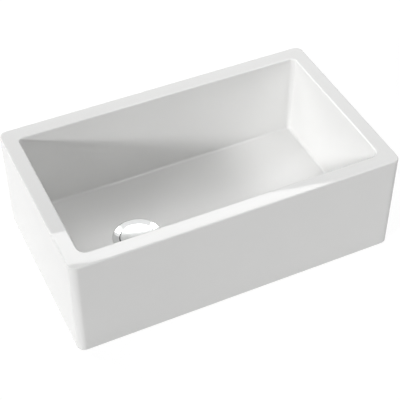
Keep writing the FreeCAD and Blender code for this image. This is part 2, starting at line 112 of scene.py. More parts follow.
class DrainSizes(bpy.types.PropertyGroup):
    """Sizes of the drain hole and its strainer."""

    x: bpy.props.FloatProperty(
        name="Place across", description="Drain from the middle", default=-0.150, unit="LENGTH"
    )
    y: bpy.props.FloatProperty(
        name="Place in depth", description="Drain from the middle", default=-0.001, unit="LENGTH"
    )
    level: length("Level part", "Radius of the level floor round the drain", 0.0625)
    seat: length("Seat", "Radius of the recess that holds the flange", 0.0585)
    seat_height: length("Seat height", "Height of the flange's seat", 0.0345)
    hole: length("Hole", "Radius of the hole through the floor", 0.04445)
    seat_edge: length("Seat edge", "Rounding of the seat's edges", 0.0012)
    clamp_height: length("Clamp height", "Height of the face that the washer presses on", 0.0205)
    clamp_recess: length("Clamp recess", "Radius of the recess round the locknut", 0.074)
    flange: length("Flange", "Outer radius of the strainer's flange", 0.057)
    flange_low: length("Flange underside", "Height of the flange's underside", 0.0351)
    flange_top: length("Flange top", "Height of the flange's outer edge", 0.0373)
    flange_fall: length("Flange fall", "How far the flange falls to the mouth", 0.0019)
    cup: length("Cup", "Inner radius of the strainer's cup", 0.0422)
    body: length("Body", "Outer radius of the cup, at the thread's root", 0.0432)
    thread: length("Thread", "Radius of the cup's thread", 0.0440)
    cup_wall: length("Cup bottom", "Thickness of the cup's bottom", 0.0012)
    cup_depth: length("Cup depth", "From the flange's edge to the cup's bottom", 0.0573)
    neck: length("Neck", "Radius of the outlet's neck in the cup's bottom", 0.0225)
    cup_round: length("Cup rounding", "Radius round the cup's bottom", 0.008)
    flange_edge: length("Flange edge", "Rounding of the flange's outer edge", 0.0007)
    thread_start: length("Thread start", "From the clamp face up to the thread's top", 0.002)
    thread_pitch: length("Thread pitch", "Pitch of the cup's thread", 0.0025)
    nut_pitch: length("Nut pitch", "Pitch of the locknut's thread", 0.002)
    thread_gap: length("Thread gap", "Gap between a thread and its nut", 0.00015)
    washer: length("Washer", "Outer radius of the rubber washer", 0.057)
    washer_bore: length("Washer bore", "Inner radius of the washer and the friction ring", 0.0444)
    washer_height: length("Washer height", "Thickness of the rubber washer", 0.003)
    friction: length("Friction ring", "Outer radius of the friction ring", 0.0555)
    friction_height: length("Friction ring height", "Thickness of the friction ring", 0.001)
    locknut: length("Locknut", "Radius of the locknut without its grips", 0.053)
    locknut_grip: length("Locknut grip", "How far the locknut's grips stand out", 0.007)
    locknut_grip_width: length("Locknut grip width", "Width that grip faces lie in", 0.015)
    locknut_height: length("Locknut height", "Height of the locknut", 0.008)
    outlet_end: length("Outlet length", "From the cup's underside to the outlet's end", 0.023)
    pipe: length("Waste pipe", "Radius of the bore for the waste pipe", 0.0193)
    tail_washer: length("Tail washer", "Outer radius of the waste pipe's washer", 0.0229)
    tail_height: length("Tail washer height", "Thickness of the waste pipe's washer", 0.0025)
    coupling: length("Coupling nut", "Radius of the coupling nut without its grips", 0.0279)
    coupling_bore: length("Coupling bore", "Outer radius of the outlet's thread", 0.0239)
    coupling_grip: length("Coupling grip", "How far the coupling nut's grips stand out", 0.0045)
    coupling_grip_width: length("Coupling grip width", "Width that grip faces lie in", 0.0098)
    coupling_edge: length("Coupling edge", "Rounding of the coupling nut's edges", 0.0005)
    coupling_height: length("Coupling height", "Height of the coupling nut", 0.020)
    coupling_lip: length("Coupling lip", "Thickness of the lip below the tail washer", 0.003)
    coupling_taper: length("Coupling taper", "From that thread in to the narrow bore", 0.00065)
    washer_room: length("Washer room", "Height of the narrow bore round the tail washer", 0.003)


class BasketSizes(bpy.types.PropertyGroup):
    """Sizes of the basket and its cap."""

    rest_gap: length("Rest gap", "Gap below a loose piece at rest", 0.0003)
    seal: length("Stopper", "Radius of the rubber stopper", 0.029)
    seal_height: length("Stopper height", "Thickness of the rubber stopper", 0.0034)
    retainer: length("Retainer", "Radius of the washer in the stopper", 0.011)
    retainer_height: length("Retainer height", "Thickness of the washer", 0.0012)
    stem: length("Stem", "Radius of the stem", 0.0025)
    post: length("Post", "Radius of the post", 0.0032)
    collar_height: length("Collar height", "Height of the post's collar", 0.004)
    sheet: length("Sheet", "Thickness of the basket's sheet", 0.0008)
    basket_height: length("Basket height", "From the basket's bottom to its rim", 0.0463)
    knob: length("Knob", "Radius of the knob", 0.010)
    knob_height: length("Knob height", "Height of the knob", 0.007)
    knob_round: length("Knob rounding", "Rounding of the knob's upper edge", 0.0025)
    sleeve: length("Sleeve", "Radius of the knob's sleeve", 0.0052)
    knob_gap: length("Knob gap", "Gap between the knob and the cap", 0.001)
    foot_height: length("Foot height", "Height of the cap's feet", 0.002)
    cap: length("Cap", "Radius of the cap", 0.0405)
    cap_height: length("Cap height", "Thickness of the cap", 0.002)
    cap_dish: length("Cap dish", "How far the cap falls to its middle", 0.002)
    cap_land: length("Cap land", "Inner radius of the flat land below the cap", 0.0354)
    cap_edge: length("Cap edge", "Rounding of the cap's upper edge", 0.0008)


class Finishes(bpy.types.PropertyGroup):
    """Colours of the materials."""

    glaze: colour("Glaze", "White glaze", (0.86, 0.86, 0.853))
    bisque: colour("Bisque", "Bare fireclay under the foot", (0.70, 0.63, 0.52))
    steel: colour("Polished steel", "Flange, cap and knob", (0.81, 0.815, 0.815))
    strainer: colour("Strainer steel", "Pressed and turned steel", (0.68, 0.675, 0.66))
    spring: colour("Spring steel", "Latch spring", (0.50, 0.50, 0.51))
    zinc: colour("Zinc", "Cast nuts", (0.52, 0.53, 0.545))
    brass: colour("Brass", "Outlet and stem nut", (0.74, 0.55, 0.27))
    rubber: colour("Black rubber", "Washer and stopper", (0.022, 0.022, 0.024))
    soft_rubber: colour("Grey rubber", "Cap's feet", (0.16, 0.16, 0.165))
    fibre: colour("Fibre", "Friction ring", (0.36, 0.20, 0.10))
    plastic: colour("White plastic", "Waste pipe's washer", (0.80, 0.80, 0.77))
    putty: colour("Putty", "Bedding under the flange", (0.55, 0.51, 0.42))


class StageSettings(bpy.types.PropertyGroup):
    """Light on the stage."""

    key: bpy.props.FloatProperty(
        name="Key light",
        description="Low sun from the left and a little from the front",
        default=1.90,
        min=0.0,
    )
    rim: power("Rim light", "Strip behind the sink that shows in the front rim", 4.5)
    overhead: power("Overhead light", "Wide light above, to the right of the sink", 11.3)
    corner: power("Corner light", "Light above the rear left corner", 17.5)
    front: power("Front light", "Wide light in front", 8.4)
    rear: power("Rear light", "Low light from the rear", 8.0)
    right: power("Right light", "Low light from the right", 3.0)
    surround: bpy.props.FloatProperty(
        name="Surround", description="Even light from all round", default=0.09, min=0.0
    )


# ---- Distances and small roundings used by several pieces ------------------------
SAME = 1e-6  # vertices nearer than this are merged
NEAR = 1e-4  # edges this near to a height belong to it
HAIR_EDGE = 0.0002
FINE_EDGE = 0.0003
SMALL_EDGE = 0.0004
SOFT_EDGE = 0.0006
FULL_EDGE = 0.001
SOFT_ANGLE = math.radians(50.0)  # edges that turn more than this are rounded
SMOOTH_ANGLE = math.radians(30.0)  # faces that turn less than this shade as one


# ---- Hand moves ------------------------------------------------------------------
def start(add, **settings):
    """Adds a primitive as a new piece at the frame's origin and opens it for editing."""
    if bpy.context.mode != "OBJECT":
        bpy.ops.object.mode_set(mode="OBJECT")
    bpy.ops.object.select_all(action="DESELECT")
    add(**settings)
    bpy.ops.object.transform_apply(location=True, rotation=True, scale=True)
    bpy.ops.object.mode_set(mode="EDIT")
    return bpy.context.object


def pick(test, kind="VERT"):
    """Selects only the vertices, edges or faces whose place and normal pass the test."""
    mesh = bmesh.from_edit_mesh(bpy.context.object.data)
    bpy.ops.mesh.select_mode(type=kind)
    bpy.ops.mesh.select_all(action="DESELECT")
    if kind == "VERT":
        found = [v for v in mesh.verts if not v.hide and test(v.co)]
    elif kind == "EDGE":
        found = [e for e in mesh.edges if not e.hide and test(e)]
    else:
        found = [f for f in mesh.faces if not f.hide and test(f.calc_center_median(), f.normal)]
    for item in found:
        item.select_set(True)
    mesh.select_flush_mode()
    bmesh.update_edit_mesh(bpy.context.object.data)


def open_edges(height):
    """Selects the edges of openings at a height."""
    pick(
        lambda e: len(e.link_faces) < 2 and all(abs(v.co.z - height) < NEAR for v in e.verts),
        kind="EDGE",
    )


def slab(x_low, x_high, y_low, y_high, corner, z, rear_corner=None):
    """Adds a flat plate with rounded corners to the piece, and leaves it selected."""
    middle_y = (y_low + y_high) / 2
    centre = ((x_low + x_high) / 2, middle_y, z)
    bpy.ops.mesh.select_mode(type="VERT")
    bpy.ops.mesh.select_all(action="DESELECT")
    bpy.ops.mesh.primitive_plane_add(size=1.0, location=centre)
    bpy.ops.transform.resize(value=(x_high - x_low, y_high - y_low, 1.0), center_override=centre)
    bpy.ops.mesh.hide(unselected=True)
    for in_front, radius in ((True, corner), (False, rear_corner or corner)):
        pick(lambda co: (co.y < middle_y) == in_front)
        bpy.ops.mesh.bevel(
            offset=radius, offset_type="OFFSET", segments=8, affect="VERTICES", profile=0.5
        )
    bpy.ops.mesh.select_mode(type="FACE")
    bpy.ops.mesh.select_all(action="SELECT")
    bpy.ops.mesh.reveal(select=False)


def step(inward, onward):
    """Insets the selected face and pushes it along its normal."""
    bpy.ops.mesh.inset(thickness=inward, depth=onward, use_even_offset=True)


def quarter(radius, direction, steps, bulge=True):
    """Insets the selected face round a quarter circle; bulge starts along the normal."""
    for index in range(steps):
        a = math.pi / 2 * index / steps
        b = math.pi / 2 * (index + 1) / steps
        across = radius * (math.cos(a) - math.cos(b))
        along = radius * (math.sin(b) - math.sin(a))
        if bulge:
            step(across, direction * along)
        else:
            step(along, direction * across)


def ring_to(centre, rings):
    """Extrudes the selected ring of edges to each radius and height in turn."""
    for radius, z in rings:
        mesh = bmesh.from_edit_mesh(bpy.context.object.data)
        here = next(v.co.copy() for v in mesh.verts if v.select)
        now = math.hypot(here.x - centre[0], here.y - centre[1])
        bpy.ops.mesh.extrude_edges_move(
            TRANSFORM_OT_translate={"value": (0.0, 0.0, z - here.z)}
        )
        scale = radius / now
        bpy.ops.transform.resize(
            value=(scale, scale, 1.0), center_override=(centre[0], centre[1], z)
        )


def draw_outline(centre, corners, closed=True, segments=4):
    """Starts a piece as an outline of (radius, height, rounding) beside an upright axis."""
    first = corners[0]
    piece = start(
        bpy.ops.mesh.primitive_plane_add,
        size=10 * SAME,
        location=(centre[0] + first[0], centre[1], first[1]),
    )
    bpy.ops.mesh.select_mode(type="VERT")
    bpy.ops.mesh.select_all(action="SELECT")
    bpy.ops.mesh.merge(type="CENTER")
    for before, after in zip(corners, corners[1:]):
        bpy.ops.mesh.extrude_vertices_move(
            TRANSFORM_OT_translate={"value": (after[0] - before[0], 0.0, after[1] - before[1])}
        )

    def at(corner):
        return lambda co: math.hypot(co.x - centre[0] - corner[0], co.z - corner[1]) < 2 * SAME

    if closed:
        pick(lambda co: at(first)(co) or at(corners[-1])(co))
        bpy.ops.mesh.edge_face_add()
    for index, corner in enumerate(corners):
        if len(corner) < 3:
            continue
        before = Vector(corners[index - 1][:2]) - Vector(corner[:2])
        after = Vector(corners[(index + 1) % len(corners)][:2]) - Vector(corner[:2])
        pick(at(corner))
        bpy.ops.mesh.bevel(
            offset=corner[2] / math.tan(before.angle(after) / 2),
            offset_type="OFFSET",
            segments=segments,
            affect="VERTICES",
            profile=0.5,
        )
    return piece


def turn(centre, steps=96):
    """Spins the outline once round the upright axis."""
    bpy.ops.mesh.select_all(action="SELECT")
    bpy.ops.mesh.spin(
        steps=steps, angle=2 * math.pi, center=(centre[0], centre[1], 0.0), axis=(0.0, 0.0, 1.0)
    )
    bpy.ops.mesh.select_all(action="SELECT")
    bpy.ops.mesh.remove_doubles(threshold=SAME)


def thread(root, crest, top, pitch, turns):
    """Outline of a thread from its top down, as V rings."""
    corners = []
    for index in range(turns):
        corners.append((root, top - index * pitch))
        corners.append((crest, top - (index + 0.5) * pitch))
    corners.append((root, top - turns * pitch))
    return corners


def grips(centre, count, radius, reach, width, low, high):
    """Pulls grips out of a nut's side, spread evenly round it."""

    def on_grip(place, normal):
        across = Vector((place.x - centre[0], place.y - centre[1]))
        if across.length < radius * 0.99 or abs(normal.z) > 0.5 or not low < place.z < high:
            return False
        turned = (math.atan2(across.y, across.x) * count / (2 * math.pi)) % 1.0
        return min(turned, 1.0 - turned) * 2 * math.pi / count * radius < width / 2

    pick(on_grip, kind="FACE")
    bpy.ops.mesh.extrude_region_move()
    scale = (radius + reach) / radius
    middle = (centre[0], centre[1], (low + high) / 2)
    bpy.ops.transform.resize(value=(scale, scale, 1.0), center_override=middle)


def soften(piece, width):
    """Rounds the piece's sharp edges."""
    bpy.ops.mesh.select_all(action="SELECT")
    bpy.ops.mesh.normals_make_consistent(inside=False)
    bpy.ops.object.mode_set(mode="OBJECT")
    edges = piece.modifiers.new("Soft edges", "BEVEL")
    edges.width = width
    edges.segments = 2
    edges.limit_method = "ANGLE"
    edges.angle_limit = SOFT_ANGLE
    bpy.ops.object.modifier_apply(modifier="Soft edges")
    bpy.ops.object.mode_set(mode="EDIT")


def close_up(piece):
    """Merges doubles, turns the faces outwards and smooths the piece; flat faces stay flat."""
    bpy.ops.mesh.select_all(action="SELECT")
    bpy.ops.mesh.remove_doubles(threshold=SAME)
    bpy.ops.mesh.normals_make_consistent(inside=False)
    bpy.ops.object.mode_set(mode="OBJECT")
    bpy.ops.object.shade_smooth_by_angle(angle=SMOOTH_ANGLE, keep_sharp_edges=True)
    even = piece.modifiers.new("Even shading", "WEIGHTED_NORMAL")
    even.keep_sharp = True
    even.weight = 100
    bpy.ops.object.modifier_apply(modifier="Even shading")


def finish_piece(piece, name, body, slot, material, *nodes):
    """Names the piece, gives it its material, hides the nodes that it takes the place of and hangs
    it from its body.
    """
    piece.name = name
    piece.data.name = name
    piece.data.materials.clear()
    piece.data.materials.append(material)
    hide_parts(*nodes)
    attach(piece, body)


# ---- Materials -------------------------------------------------------------------
class Value:
    """An output of a shader node that can be used in sums."""

    def __init__(self, finish, output):
        self.finish = finish
        self.output = output

    def sum(self, operation, other, turned=False):
        first, second = (other, self) if turned else (self, other)
        return self.finish.add("ShaderNodeMath", {"operation": operation}, {0: first, 1: second})

    def __add__(self, other):
        return self.sum("ADD", other)

    def __sub__(self, other):
        return self.sum("SUBTRACT", other)

    def __rsub__(self, other):
        return self.sum("SUBTRACT", other, turned=True)

    def __mul__(self, other):
        return self.sum("MULTIPLY", other)

    def least(self, other):
        return self.sum("MAXIMUM", other)


class Finish:
    """Builds one material, node by node."""

    def __init__(self, name):
        self.material = bpy.data.materials.new(name)
        self.material.use_nodes = True
        self.tree = self.material.node_tree
        self.shader = self.tree.nodes["Principled BSDF"]
        self.place = self.add("ShaderNodeTexCoord", {}, {}, "Object")

    def add(self, kind, settings, inputs, output=0):
        """Adds a node: its settings first, then its values and links."""
        node = self.tree.nodes.new(kind)
        for key, value in settings.items():
            setattr(node, key, value)
        for key, value in inputs.items():
            self.feed(node.inputs[key], value)
        return Value(self, node.outputs[output])

    def feed(self, socket, value):
        if isinstance(value, Value):
            self.tree.links.new(value.output, socket)
        elif hasattr(value, "__len__") and len(value) == 3 and socket.type == "RGBA":
            socket.default_value = (*value, 1.0)
        else:
            socket.default_value = value

    def set(self, **inputs):
        for key, value in inputs.items():
            self.feed(self.shader.inputs[key.replace("_", " ")], value)

    def noise(self, scale, detail=3.0, roughness=0.5, place=None):
        return self.add(
            "ShaderNodeTexNoise",
            {},
            {
                "Vector": place or self.place,
                "Scale": scale,
                "Detail": detail,
                "Roughness": roughness,
            },
        )

    def moved(self, location):
        return self.add(
            "ShaderNodeMapping",
            {"vector_type": "POINT"},
            {"Vector": self.place, "Location": location},
        )

    def ramp(self, value, low, high, to_low=0.0, to_high=1.0):
        return self.add(
            "ShaderNodeMapRange",
            {"clamp": True},
            {
                "Value": value,
                "From Min": low,
                "From Max": high,
                "To Min": to_low,
                "To Max": to_high,
            },
        )

    def mix(self, factor, first, second):
        node = self.tree.nodes.new("ShaderNodeMix")
        node.data_type = "RGBA"
        self.feed(node.inputs["Factor"], factor)
        self.feed(node.inputs[6], first)
        self.feed(node.inputs[7], second)
        return Value(self, node.outputs[2])

    def axis(self, name, place=None):
        return self.add("ShaderNodeSeparateXYZ", {}, {0: place or self.place}, name)

    def bump(self, height, distance, strength, normal=None):
        inputs = {"Height": height, "Distance": distance, "Strength": strength}
        if normal is not None:
            inputs["Normal"] = normal
        return self.add("ShaderNodeBump", {}, inputs)


def shaded(base, factor):
    return tuple(channel * factor for channel in base)


FLECK_COLOUR = (0.42, 0.38, 0.32)


def glaze(colours):
    """Thick white glaze over fireclay, bare and rough under the foot."""
    f = Finish("white_glaze")
    cloud = f.noise(9.0, 4.0, 0.55)
    mottle = f.noise(55.0, 3.0)
    height = f.axis("Z")
    edge = f.noise(30.0, 3.0)
    bare = 1.0 - f.ramp(height - edge * 0.0016, 0.0004, 0.0012)
    glazed = f.mix(
        f.ramp(cloud, 0.35, 0.75, 0.0, 0.35),
        tuple(colours.glaze),
        shaded(colours.glaze, 0.965),
    )
    speck = f.add(
        "ShaderNodeTexVoronoi",
        {"feature": "F1"},
        {"Vector": f.place, "Scale": 46.0, "Randomness": 1.0},
        "Distance",
    )
    fleck = 1.0 - f.ramp(speck, 0.010, 0.022)
    glazed = f.mix(fleck * 0.10, glazed, FLECK_COLOUR)
    grit = f.noise(420.0, 4.0, 0.7)
    clay = f.mix(f.ramp(grit, 0.3, 0.7), tuple(colours.bisque), shaded(colours.bisque, 0.78))
    f.set(
        Base_Color=f.mix(bare, glazed, clay),
        Roughness=f.ramp(mottle, 0.2, 0.8, 0.010, 0.022) + bare * 0.75,
        IOR=1.5,
        Specular_IOR_Level=0.5,
    )
    wave = f.bump(f.noise(7.0, 2.0), 0.0012, 0.04)
    peel = f.bump(f.noise(95.0, 2.0), 0.00025, 0.06, wave)
    rough = f.bump(grit * bare, 0.0005, 0.5, peel)
    f.set(Normal=rough)
    return f.material


def ring_piece(centre, inner, outer, low, high, edge):
    """A turned ring with rounded edges."""
    corners = [(inner, low, edge), (outer, low, edge), (outer, high, edge), (inner, high, edge)]
    piece = draw_outline(centre, corners, segments=3)
    turn(centre)
    close_up(piece)
    return piece


def dish(edge, height, fall, steps):
    """Outline of a shallow dish on one sphere, from its middle to its edge."""
    sphere = (edge**2 + fall**2) / (2 * fall)
    middle = height - fall + sphere
    places = [edge * index / steps for index in range(steps + 1)]
    return [(place, middle - math.sqrt(sphere**2 - place**2)) for place in places]


def from_drain(f, drain):
    """Place measured from the drain's axis."""
    return f.moved((-drain.x, -drain.y, 0.0))


def spun_steel(name, base, drain, roughness):
    """Turned and polished steel, with fine rings round the drain's axis."""
    f = Finish(name)
    place = from_drain(f, drain)
    x = f.axis("X", place)
    y = f.axis("Y", place)
    radius = f.add("ShaderNodeMath", {"operation": "SQRT"}, {0: x * x + y * y})
    spot = f.add("ShaderNodeCombineXYZ", {}, {"X": radius, "Y": f.axis("Z", place) * 0.4})
    rings = f.noise(900.0, 3.0, 0.6, place=spot)
    smear = f.noise(38.0, 3.0, 0.6)
    f.set(
        Base_Color=f.mix(f.ramp(smear, 0.3, 0.75, 0.0, 0.6), tuple(base), shaded(base, 0.93)),
        Metallic=1.0,
        Roughness=f.ramp(rings, 0.3, 0.7, roughness * 0.75, roughness * 1.25)
        + f.ramp(smear, 0.5, 0.8, 0.0, roughness * 0.5),
        Normal=f.bump(rings, 0.00002, 0.35),
    )
    return f.material


def cast_metal(name, base, roughness, grain=260.0, depth=0.0003):
    """Cast metal with a fine grain, duller where the grain stands up."""
    f = Finish(name)
    skin = f.noise(grain, 5.0, 0.65)
    patch = f.noise(28.0, 3.0)
    f.set(
        Base_Color=f.mix(f.ramp(patch, 0.3, 0.7), tuple(base), shaded(base, 0.82)),
        Metallic=1.0,
        Roughness=f.ramp(skin, 0.3, 0.7, roughness - 0.08, roughness + 0.1),
        Normal=f.bump(skin, depth, 0.5),
    )
    return f.material


def moulded(name, base, roughness, grain=500.0, depth=0.0001, change=0.8):
    """Moulded rubber, plastic, fibre or putty."""
    f = Finish(name)
    skin = f.noise(grain, 4.0, 0.6)
    patch = f.noise(60.0, 3.0)
    f.set(
        Base_Color=f.mix(f.ramp(patch, 0.3, 0.7), tuple(base), shaded(base, change)),
        Roughness=f.ramp(skin, 0.3, 0.7, roughness - 0.07, roughness + 0.08),
        Normal=f.bump(skin, depth, 0.5),
    )
    return f.material


def dress(material, *nodes):
    """Gives carried-over nodes their material."""
    for name in nodes:
        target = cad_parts[name]
        target.data.materials.clear()
        target.data.materials.append(material)


# ---- Pieces ----------------------------------------------------------------------
class SINK_OT_basin(bpy.types.Operator):
    """Models the fireclay basin with its bowl, rim, foot and drain hole"""

    bl_idname = "sink.basin"
    bl_label = "Basin"

    def execute(self, context):
        size = context.scene.sink_basin
        drain = context.scene.sink_drain
        half_x = size.length / 2
        half_y = size.width / 2
        top = size.height
        # Outside: a rounded block from the foot to the rim.
        piece = start(bpy.ops.mesh.primitive_plane_add, size=0.1)
        bpy.ops.mesh.delete(type="VERT")
        slab(-half_x, half_x, -half_y, half_y, size.outer_corner, size.foot_round)
        bpy.ops.mesh.extrude_region_move(
            TRANSFORM_OT_translate={"value": (0.0, 0.0, top - size.rim_round - size.foot_round)}
        )
        quarter(size.rim_round, 1.0, 6)
        bpy.ops.mesh.delete(type="ONLY_FACE")
        pick(lambda c, n: abs(n.z) > 0.9 and c.z < size.foot_round * 1.01, kind="FACE")
        quarter(size.foot_round, 1.0, 5)
        bpy.ops.mesh.delete(type="ONLY_FACE")
        # Inside: the bowl, down from the rim to its floor.
        x_low = -half_x + size.side_rim
        x_high = half_x - size.side_rim
        y_low = -half_y + size.front_rim
        y_high = half_y - size.rear_rim
        r = size.rim_round
        corners = (size.front_corner + r, size.rear_corner + r)
        slab(x_low - r, x_high + r, y_low - r, y_high + r, corners[0], top, corners[1])
        quarter(r, -1.0, 6, bulge=False)
        reach = 0.6  # further than any corner of the floor is from the drain
        sink_by = reach * math.tan(size.floor_fall)
        floor = size.floor_height + sink_by
        wall = top - r - floor - size.floor_round
        step(wall * math.tan(size.wall_lean), -wall)
        quarter(size.floor_round, -1.0, 7)
        bpy.ops.mesh.delete(type="ONLY_FACE")
        open_edges(top)
        bpy.ops.mesh.bridge_edge_loops()
        # Floor: a ring round the drain, joined to the foot of the walls.
        centre = (drain.x, drain.y)
        bpy.ops.mesh.select_mode(type="VERT")
        bpy.ops.mesh.select_all(action="DESELECT")
        bpy.ops.mesh.primitive_circle_add(
            vertices=96, radius=drain.level, fill_type="NOTHING", location=(*centre, floor)
        )
        open_edges(floor)
        bpy.ops.mesh.fill(use_beauty=True)
        # Cuts across the floor give the slope to the drain vertices to bend at.
        cut_step = 0.04
        above_floor = floor + 0.020

        def near_floor(place, normal):
            return size.foot_round * 2 < place.z < above_floor

        pick(near_floor, kind="FACE")
        for reach_cuts, across in ((8, Vector((1, 0, 0))), (4, Vector((0, 1, 0)))):
            for index in range(-reach_cuts, reach_cuts + 1):
                bpy.ops.mesh.bisect(plane_co=across * (index * cut_step), plane_no=across)
                pick(near_floor, kind="FACE")
        bpy.ops.mesh.hide(unselected=True)
        pick(
            lambda co: abs(co.z - floor) < NEAR
            and math.hypot(co.x - drain.x, co.y - drain.y) < drain.level * 1.001
        )
        bpy.ops.transform.translate(
            value=(0.0, 0.0, -sink_by),
            use_proportional_edit=True,
            proportional_edit_falloff="LINEAR",
            proportional_size=reach,
        )
        bpy.ops.mesh.reveal()
        # Drain: seat, hole and clamp recess.
        edge = drain.seat_edge
        low = size.floor_height
        pick(
            lambda e: e.is_boundary and all(abs(v.co.z - low) < NEAR for v in e.verts),
            kind="EDGE",
        )
        turns = [math.pi / 2 * index / 4 for index in range(5)]
        rings = [
            (drain.seat + edge * (1 - math.sin(a)), low - edge * (1 - math.cos(a))) for a in turns
        ]
        rings += [(drain.seat, drain.seat_height)]
        rings += [
            (drain.hole + edge * (1 - math.sin(a)), drain.seat_height - edge * (1 - math.cos(a)))
            for a in turns
        ]
        rings += [
            (drain.hole, drain.clamp_height),
            (drain.clamp_recess, drain.clamp_height),
            (drain.clamp_recess, size.foot_recess),
        ]
        ring_to(centre, rings)
        # Underside: two shallow recesses between the foot band and the centre rib.
        pocket_edge = half_x - size.foot_band
        rib_edge = size.centre_rib / 2
        for x_from, x_to in ((-pocket_edge, -rib_edge), (rib_edge, pocket_edge)):
            y_to = half_y - size.foot_band
            lip = size.pocket_lip
            slab(x_from - lip, x_to + lip, -y_to - lip, y_to + lip, size.pocket_corner + lip, 0.0)
            quarter(lip, 1.0, 3, bulge=False)
            step(0.0, size.foot_recess - lip - size.pocket_round)
            quarter(size.pocket_round, 1.0, 4)
            if x_from < drain.x < x_to:
                bpy.ops.mesh.delete(type="ONLY_FACE")
        open_edges(size.foot_recess)
        bpy.ops.mesh.fill(use_beauty=True)
        open_edges(0.0)
        bpy.ops.mesh.fill(use_beauty=True)
        close_up(piece)
        white = glaze(context.scene.sink_finishes)
        finish_piece(piece, "basin_fireclay", "sink", "glaze", white, "basin")
        return {"FINISHED"}


class SINK_OT_strainer(bpy.types.Operator):
    """Models the strainer's flange and threaded cup, on their bed of putty"""

    bl_idname = "sink.strainer"
    bl_label = "Strainer"

    def execute(self, context):
        drain = context.scene.sink_drain
        colours = context.scene.sink_finishes
        centre = (drain.x, drain.y)
        cup_floor = drain.flange_top - drain.cup_depth
        cup_under = cup_floor - drain.cup_wall
        thread_top = drain.clamp_height + drain.thread_start
        corners = [
            (drain.neck, cup_floor),
            (drain.cup, cup_floor, drain.cup_round),
            (drain.cup, drain.flange_top - drain.flange_fall, FULL_EDGE),
            (drain.flange, drain.flange_top, drain.flange_edge),
            (drain.flange, drain.flange_low, FINE_EDGE),
            (drain.body, drain.flange_low, SMALL_EDGE),
        ]
        corners += thread(drain.body, drain.thread, thread_top, drain.thread_pitch, 10)
        corners += [(drain.body, cup_under, drain.cup_round), (drain.neck, cup_under)]
        piece = draw_outline(centre, corners, segments=6)
        turn(centre, 144)
        close_up(piece)
        steel = spun_steel("polished_steel", colours.steel, drain, 0.02)
        finish_piece(piece, "strainer_flange_cup", "sink", "polished_steel", steel, "strainer_body")
        dress(moulded("putty", colours.putty, 0.85, 160.0, 0.0004, 0.88), "flange_seal")
        return {"FINISHED"}


class SINK_OT_clamp(bpy.types.Operator):
    """Models the rubber washer, the friction ring and the locknut below the floor"""

    bl_idname = "sink.clamp"
    bl_label = "Clamp"

    def execute(self, context):
        drain = context.scene.sink_drain
        colours = context.scene.sink_finishes
        centre = (drain.x, drain.y)
        washer_low = drain.clamp_height - drain.washer_height
        friction_low = washer_low - drain.friction_height
        nut_low = friction_low - drain.locknut_height
        bore = drain.washer_bore
        top = drain.clamp_height
        washer = ring_piece(centre, bore, drain.washer, washer_low, top, SOFT_EDGE)
        rubber = moulded("black_rubber", colours.rubber, 0.55)
        finish_piece(washer, "washer_rubber", "sink", "black_rubber", rubber, "rubber_washer")
        ring = ring_piece(centre, bore, drain.friction, friction_low, washer_low, HAIR_EDGE)
        fibre = moulded("fibre", colours.fibre, 0.8, 240.0, 0.0003)
        finish_piece(ring, "ring_fibre", "sink", "fibre", fibre, "friction_ring")
        root = drain.body + drain.thread_gap
        crest = drain.thread + drain.thread_gap
        corners = [(drain.locknut, nut_low), (drain.locknut, friction_low)]
        corners += thread(root, crest, friction_low, drain.nut_pitch, 4)
        nut = draw_outline(centre, corners)
        turn(centre)
        width = drain.locknut_grip_width
        grips(centre, 8, drain.locknut, drain.locknut_grip, width, nut_low, friction_low)
        soften(nut, SOFT_EDGE)
        close_up(nut)
        zinc = cast_metal("cast_zinc", colours.zinc, 0.42)
        finish_piece(nut, "locknut_cast", "sink", "zinc", zinc, "locknut")
        return {"FINISHED"}


class SINK_OT_outlet(bpy.types.Operator):
    """Models the waste pipe's washer and coupling nut, and dresses the outlet"""

    bl_idname = "sink.outlet"
    bl_label = "Outlet"

    def execute(self, context):
        drain = context.scene.sink_drain
        colours = context.scene.sink_finishes
        centre = (drain.x, drain.y)
        end = drain.flange_top - drain.cup_depth - drain.cup_wall - drain.outlet_end
        washer_low = end - drain.tail_height
        nut_low = washer_low - drain.coupling_lip
        nut_top = nut_low + drain.coupling_height
        washer = ring_piece(centre, drain.pipe, drain.tail_washer, washer_low, end, SMALL_EDGE)
        plastic = moulded("white_plastic", colours.plastic, 0.4, 300.0, 0.00005, 0.95)
        finish_piece(washer, "washer_tail", "sink", "white_plastic", plastic, "tail_washer")
        bore = drain.coupling_bore
        bore_low = bore - drain.coupling_taper
        corners = [
            (drain.pipe, nut_low, SMALL_EDGE),
            (drain.coupling, nut_low, FULL_EDGE),
            (drain.coupling, nut_top, FULL_EDGE),
            (bore + drain.thread_gap, nut_top, FINE_EDGE),
            (bore_low, washer_low + drain.washer_room),
            (bore_low, washer_low),
            (drain.pipe, washer_low),
        ]
        nut = draw_outline(centre, corners)
        turn(centre)
        width = drain.coupling_grip_width
        low = nut_low + 1.1 * FULL_EDGE
        high = nut_top - 1.1 * FULL_EDGE
        grips(centre, 6, drain.coupling, drain.coupling_grip, width, low, high)
        soften(nut, drain.coupling_edge)
        close_up(nut)
        zinc = bpy.data.materials["cast_zinc"]
        finish_piece(nut, "coupling_nut_cast", "sink", "zinc", zinc, "coupling_nut")
        dress(cast_metal("brass", colours.brass, 0.3, 180.0, 0.0001), "outlet_spud", "stem_nut")
        return {"FINISHED"}


